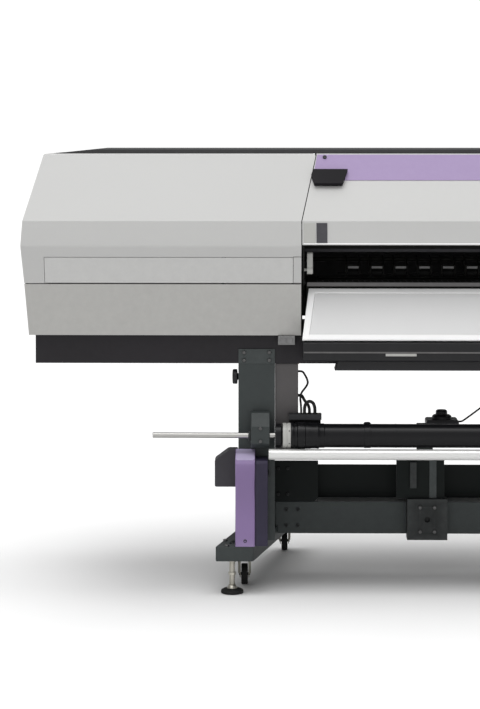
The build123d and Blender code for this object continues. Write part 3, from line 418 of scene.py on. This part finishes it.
# plain plates at the end of the cover and a screw on the stripe
def slope_point(x, v, off):
    """Point on the upper slope: v metres down from the top edge, off outside the face."""
    L = math.hypot(221, 174)
    return Vector((x, -0.196 - 174 / L * v - 221 / L * off, 1.467 - 221 / L * v + 174 / L * off))


def lower_band(x, z, off):
    """Point on the lower band of the cover between its crease and its lip."""
    y = -0.390 + (z - 1.168) * 20 / 78.0
    return Vector((x, y - off, z))


def plate(name, pts, n, thick, mat, body, bevel=0.0006):
    bm = bmesh.new()
    n = Vector(n).normalized()
    a = [bm.verts.new(Vector(p)) for p in pts]
    b = [bm.verts.new(Vector(p) + n * thick) for p in pts]
    bm.faces.new(a[::-1])
    bm.faces.new(b)
    k = len(pts)
    for i in range(k):
        bm.faces.new((a[i], a[(i + 1) % k], b[(i + 1) % k], b[i]))
    return from_bm(name, bm, mat, body, smooth=False, bevel=bevel, seg=2)


nb = (0, -1, 0.25)
plate("cover_plate_light", [lower_band(x, z, 0.0003) for x, z in ((-0.606, 1.175), (-0.568, 1.175), (-0.568, 1.240), (-0.606, 1.240))], nb, 0.0012, "light", "front_cover")
plate("cover_plate_dark", [lower_band(x, z, 0.0003) for x, z in ((-0.564, 1.175), (-0.528, 1.175), (-0.528, 1.240), (-0.564, 1.240))], nb, 0.0016, "box", "front_cover")
p = slope_point(-0.532, 0.016, 0.0022)
bolts("stripe_screw", [p], (0, -221, 174), 0.007, 0.003, "black", "front_cover")
bolts("stripe_screw_right", [slope_point(mx(-0.532), 0.016, 0.0022)], (0, -221, 174), 0.007, 0.003, "black", "front_cover")
# painted highlight: a thin white strip along the lower edge of the cover for the glint on its rounded edge
plate("cover_edge_painted_highlight", [Vector((-0.607, -0.38942, 1.1705)), Vector((1.058, -0.38942, 1.1705)), Vector((1.058, -0.38840, 1.1745)), Vector((-0.607, -0.38840, 1.1745))],
      (0, -1, 0.25), 0.0004, "white", "front_cover", bevel=0.0001)

# ---------------------------------------------------------------- print slot
bm = bmesh.new()
for i in range(17):
    x = MID + (i - 8) * 0.082
    block(bm, (x - 0.0185, -0.1205, 1.0700), (x + 0.0185, -0.1180, 1.0785))
from_bm("pinch_springs_plates", bm, "dim", "clamp", smooth=False, bevel=0.0008, seg=2)
plate("slot_inner_bar", [Vector((-0.596, -0.128, 1.128)), Vector((1.047, -0.128, 1.128)), Vector((1.047, -0.128, 1.139)), Vector((-0.596, -0.128, 1.139))],
      (0, -1, 0), 0.001, "box", "frame", bevel=0.0003)
bm = bmesh.new()
for k in range(80):
    x = -0.56 + k * 0.02
    block(bm, (x, -0.328, 1.0402), (x + 0.0012, -0.245, 1.0407))
from_bm("platen_ruler_ticks", bm, "box", "frame", smooth=False)
plate("platen_edge_strip", [Vector((-0.594, -0.3305, 1.027)), Vector((1.045, -0.3305, 1.027)), Vector((1.045, -0.3305, 1.0395)), Vector((-0.594, -0.3305, 1.0395))],
      (0, -1, 0), 0.0012, "duct", "frame", bevel=0.0003)

# ---------------------------------------------------------------- under the apron
plate("heater_bright_strip", [Vector((-0.335, -0.3885, 0.800)), Vector((-0.233, -0.3885, 0.800)), Vector((-0.233, -0.3885, 0.8085)), Vector((-0.335, -0.3885, 0.8085))],
      (0, -1, 0), 0.001, "lower", "frame", bevel=0.0003)
# inner side sheets between the casings and the slot
for tag, xa, xb in (("left", -0.6128, -0.6088), ("right", mx(-0.6088) - 0.0005, mx(-0.6128) - 0.0005)):
    bm = bmesh.new()
    block(bm, (xa, -0.288, 0.862), (xb, 0.280, 0.998))
    from_bm("inner_side_sheet_" + tag, bm, "slot", "frame", smooth=False, bevel=0.0004, seg=1)
plate("heater_line", [Vector((-0.606, -0.3884, 0.8095)), Vector((1.057, -0.3884, 0.8095)), Vector((1.057, -0.3884, 0.8145)), Vector((-0.606, -0.3884, 0.8145))],
      (0, -1, 0), 0.0008, "duct", "frame", bevel=0.0002)
bm = bmesh.new()
block(bm, (-0.691, -0.330, 0.830), (-0.634, -0.292, 0.860))
block(bm, (-0.684, -0.334, 0.836), (-0.664, -0.329, 0.852))
block(bm, (-0.659, -0.334, 0.836), (-0.641, -0.329, 0.852))
from_bm("connector_block", bm, "dim", "frame", smooth=True, bevel=0.0015, seg=2)

# ---------------------------------------------------------------- stand details
bolts("column_bolts", [(x, -0.2942, z) for x in (-0.805, -0.72, mx(-0.805), mx(-0.72)) for z in (0.774, 0.80)], (0, -1, 0), 0.007, 0.005, "screw", "frame", hexhead=True)
for tag, f in (("left", lambda x: x), ("right", mx)):
    lathe("column_knob_" + tag, [(-0.001, 0.009), (0.003, 0.012), (0.004, 0.0235), (0.006, 0.025), (0.017, 0.025), (0.020, 0.022), (0.021, 0.008)],
          (f(-0.824), -0.262, 0.715), (-1 if tag == "left" else 1, 0, 0), "black", "frame", n=40)
    bolts("leg_bolts_" + tag, [(f(-0.80), -0.3868, 0.183)], (0, -1, 0), 0.006, 0.003, "black", "frame")
    bolts("foot_bar_bolts_" + tag, [(f(-0.86), -0.378, 0.165), (f(-0.868), -0.3, 0.165)], (0, 0, 1), 0.008, 0.005, "screw", "frame", hexhead=True)
for tag, x in (("left", -0.172), ("right", mx(-0.172))):
    bolts("mid_bracket_screws_" + tag, [(x + a, -0.1098, 0.197 + b) for a in (-0.025, 0.025) for b in (-0.042, 0.042)], (0, -1, 0), 0.0065, 0.004, "screw", "frame")
bolts("beam_end_bolts", [(x, -0.0602, z) for x in (-0.66, -0.62, mx(-0.66), mx(-0.62)) for z in (0.165, 0.221)], (0, -1, 0), 0.007, 0.005, "bracket", "frame", hexhead=True)
bolts("gusset_bolts", [(x, -0.0612, z) for x in (-0.688, -0.655, mx(-0.688), mx(-0.655)) for z in (0.275, 0.365)], (0, -1, 0), 0.006, 0.004, "bracket", "frame", hexhead=True)
# painted light: lighter purple plates on the top slopes of the leg covers, a lit copy of the leg purple
for tag, xa, xb in (("left", -0.8325, -0.7680), ("right", mx(-0.7680) + 0.0005, mx(-0.8325) + 0.0005)):
    xa, xb = min(xa, xb), max(xa, xb)
    d = Vector((0, 0.089, 0.023)).normalized()
    nn = Vector((0, -0.023, 0.089)).normalized()
    p0 = Vector((0, -0.3850, 0.45225)) + nn * 0.0002
    L = 0.0885
    q = [p0 + Vector((xa + 0.006, 0, 0)), p0 + Vector((xb - 0.006, 0, 0)), p0 + Vector((xb - 0.001, 0, 0)) + d * 0.007,
         p0 + Vector((xb - 0.001, 0, 0)) + d * L, p0 + Vector((xa + 0.001, 0, 0)) + d * L, p0 + Vector((xa + 0.001, 0, 0)) + d * 0.007]
    plate("leg_top_painted_light_" + tag, q, nn, 0.0012, "leg_top_painted_light", "frame", bevel=0.0004)

# levelling feet: dished rubber pad, ball cup, threaded stem and nuts
for tag, x in (("left", -0.844), ("right", mx(-0.844))):
    at = (x, -0.340, 0.0)
    pad = lathe("foot_pad_" + tag, [(0.0, 0.034), (0.001, 0.0375), (0.006, 0.0378), (0.009, 0.0365), (0.0125, 0.030), (0.0150, 0.020), (0.0155, 0.006)],
                at, (0, 0, 1), "rubber", "foot_" + tag)
    cup = lathe("foot_cup_" + tag, [(0.0145, 0.0175), (0.017, 0.0172), (0.022, 0.0140), (0.0265, 0.0120), (0.028, 0.0070)], at, (0, 0, 1), "zinc", "foot_" + tag)
    prof = [(0.026, 0.0075), (0.028, 0.0090)]
    z = 0.030
    while z < 0.112:
        prof += [(z, 0.0095), (z + 0.0012, 0.0095), (z + 0.0018, 0.0086)]
        z += 0.0024
    prof.append((0.1139, 0.0088))
    stem = lathe("foot_stem_" + tag, prof, at, (0, 0, 1), "zinc", "foot_" + tag, n=40)
    bm = bmesh.new()
    for z0, z1 in ((0.059, 0.070), (0.103, 0.1140)):
        ring = [[bm.verts.new((x + r * math.cos(q), -0.340 + r * math.sin(q), zz)) for q in (math.pi / 3 * i for i in range(6))]
                for zz, r in ((z0, 0.0118), (z0 + 0.0012, 0.0128), (z1 - 0.0012, 0.0128), (z1, 0.0118))]
        for r0, r1 in zip(ring, ring[1:]):
            for i in range(6):
                bm.faces.new((r0[i], r0[(i + 1) % 6], r1[(i + 1) % 6], r1[i]))
        bm.faces.new(ring[0][::-1])
        bm.faces.new(ring[-1])
    from_bm("foot_nuts_" + tag, bm, "zinc", "foot_" + tag, smooth=False)
    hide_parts("levelling_foot_" + tag)

# dark face sheets and guide strips on the centre uprights
for tag, x in (("left", -0.195), ("right", mx(-0.172) - 0.023)):
    plate("upright_sheet_" + tag, [Vector((x - 0.0822, -0.0911, 0.2685)), Vector((x + 0.0822, -0.0911, 0.2685)), Vector((x + 0.0822, -0.0911, 0.4162)), Vector((x - 0.0822, -0.0911, 0.4162))],
          (0, -1, 0), 0.0008, "panel_black", "frame", bevel=0.0002)
    plate("upright_guide_" + tag, [Vector((x + 0.031, -0.0919, 0.2690)), Vector((x + 0.056, -0.0919, 0.2690)), Vector((x + 0.056, -0.0919, 0.4158)), Vector((x + 0.031, -0.0919, 0.4158))],
          (0, -1, 0), 0.003, "steel_paint", "frame", bevel=0.0008)

# back sheets of the cable clamps
for tag, x in (("left", -0.600), ("right", mx(-0.600))):
    bm = bmesh.new()
    block(bm, (x - 0.053, -0.300, 0.557), (x + 0.053, -0.2905, 0.5785))
    from_bm("clamp_sheet_" + tag, bm, "tube", "frame", smooth=False, bevel=0.001, seg=2)

# painted light: a lighter grey strip on the top face of the lower beam, standing in for the light on that face
bm = bmesh.new()
block(bm, (-0.548, -0.0592, 0.2492), (0.999, 0.0125, 0.2499))
from_bm("beam_top_painted_light_strip", bm, "top_painted_light_grey", "frame", smooth=False, bevel=0.0002, seg=1)

# rear service panel: ribs and fan grilles
bm = bmesh.new()
for k in range(5):
    x = -0.35 + k * 0.29
    block(bm, (x - 0.05, 0.3200, 1.02), (x + 0.05, 0.3212, 1.03))
    for j in range(7):
        block(bm, (x - 0.05, 0.3200, 1.04 + j * 0.012), (x + 0.05, 0.3216, 1.045 + j * 0.012))
from_bm("rear_vents", bm, "black", "frame", smooth=False, bevel=0.0005, seg=1)
bolts("rear_screws", [(x, 0.3198, z) for x in (-0.58, -0.2, 0.2255, 0.65, 1.03) for z in (0.88, 1.20)], (0, 1, 0), 0.005, 0.003, "zinc", "frame")

# control panel face
L = math.hypot(221, 174)
nrm = Vector((0, -221 / L, 174 / L))
up = Vector((0, 174 / L, 221 / L))
C0 = Vector((1.250, -0.300, 1.3349)) + nrm * 0.0195


def on_panel(x, y, off=0.0):
    return C0 + Vector((x, 0, 0)) + up * y + nrm * off


plate("panel_screen", [on_panel(-0.094, -0.016), on_panel(0.024, -0.016), on_panel(0.024, 0.052), on_panel(-0.094, 0.052)], nrm, 0.0006, "screen", "control_panel", bevel=0.0002)
for k, (x, y) in enumerate([(-0.08, -0.042), (-0.052, -0.042), (-0.024, -0.042), (0.004, -0.042), (0.06, -0.014), (0.09, -0.014), (0.075, -0.034)]):
    lathe("panel_key_%d" % k, [(0.0, 0.0085), (0.0022, 0.0085), (0.0032, 0.0075), (0.0034, 0.0)], tuple(on_panel(x, y, 0.0012)), tuple(nrm), "light", "control_panel", n=28)

# white media on the supply core, and the core's flanges
lathe("supply_media", [(-0.70, 0.0382), (-0.70, 0.0520), (0.70, 0.0520), (0.70, 0.0382)], (MID, 0.330, 0.725), (1, 0, 0), "media", "supply", closed=False, n=96)
for tag, x in (("left", -0.640), ("right", mx(-0.640))):
    lathe("supply_flange_" + tag, [(-0.0052, 0.030), (-0.0052, 0.0585), (-0.0035, 0.0598), (0.0035, 0.0598), (0.0052, 0.0585), (0.0052, 0.030)], (x, 0.330, 0.725), (1, 0, 0), "black", "supply", closed=False)

# ---------------------------------------------------------------- floor and lights
me = bpy.data.meshes.new("floor")
me.from_pydata([(-60, -30, -0.0005), (60, -30, -0.0005), (60, 80, -0.0005), (-60, 80, -0.0005)], [], [(0, 1, 2, 3)])
floor = bpy.data.objects.new("floor", me)
bpy.context.scene.collection.objects.link(floor)
fm, fnt, fb = new_mat("floor_pale")
fn = noise(fnt, 1.2, 2.0)
fr = ramp(fnt, fn.outputs["Fac"], [(0.3, (0.77, 0.77, 0.77)), (0.7, (0.79, 0.79, 0.79))])
fnt.links.new(fr.outputs["Color"], fb.inputs["Base Color"])
fb.inputs["Roughness"].default_value = 0.9
me.materials.append(fm)

w = bpy.data.worlds.new("studio")
bpy.context.scene.world = w
w.use_nodes = True
bg = w.node_tree.nodes["Background"]
lp = w.node_tree.nodes.new("ShaderNodeLightPath")
mr = w.node_tree.nodes.new("ShaderNodeMapRange")
mr.inputs["To Min"].default_value = 0.32
mr.inputs["To Max"].default_value = 1.05
w.node_tree.links.new(lp.outputs["Is Camera Ray"], mr.inputs["Value"])
w.node_tree.links.new(mr.outputs["Result"], bg.inputs["Strength"])
bg.inputs["Color"].default_value = (1, 1, 1, 1)


def sun(name, direction, energy, angle):
    d = bpy.data.lights.new(name, "SUN")
    d.energy = energy
    d.angle = math.radians(angle)
    o = bpy.data.objects.new(name, d)
    bpy.context.scene.collection.objects.link(o)
    o.rotation_euler = Vector(direction).to_track_quat("-Z", "Y").to_euler()


sun("key", (0.16, 0.30, -0.90), 1.3, 60)
sun("overhead", (-0.04, -0.10, -1.0), 2.35, 62)
sun("fill", (0.10, 0.95, -0.28), 0.35, 50)
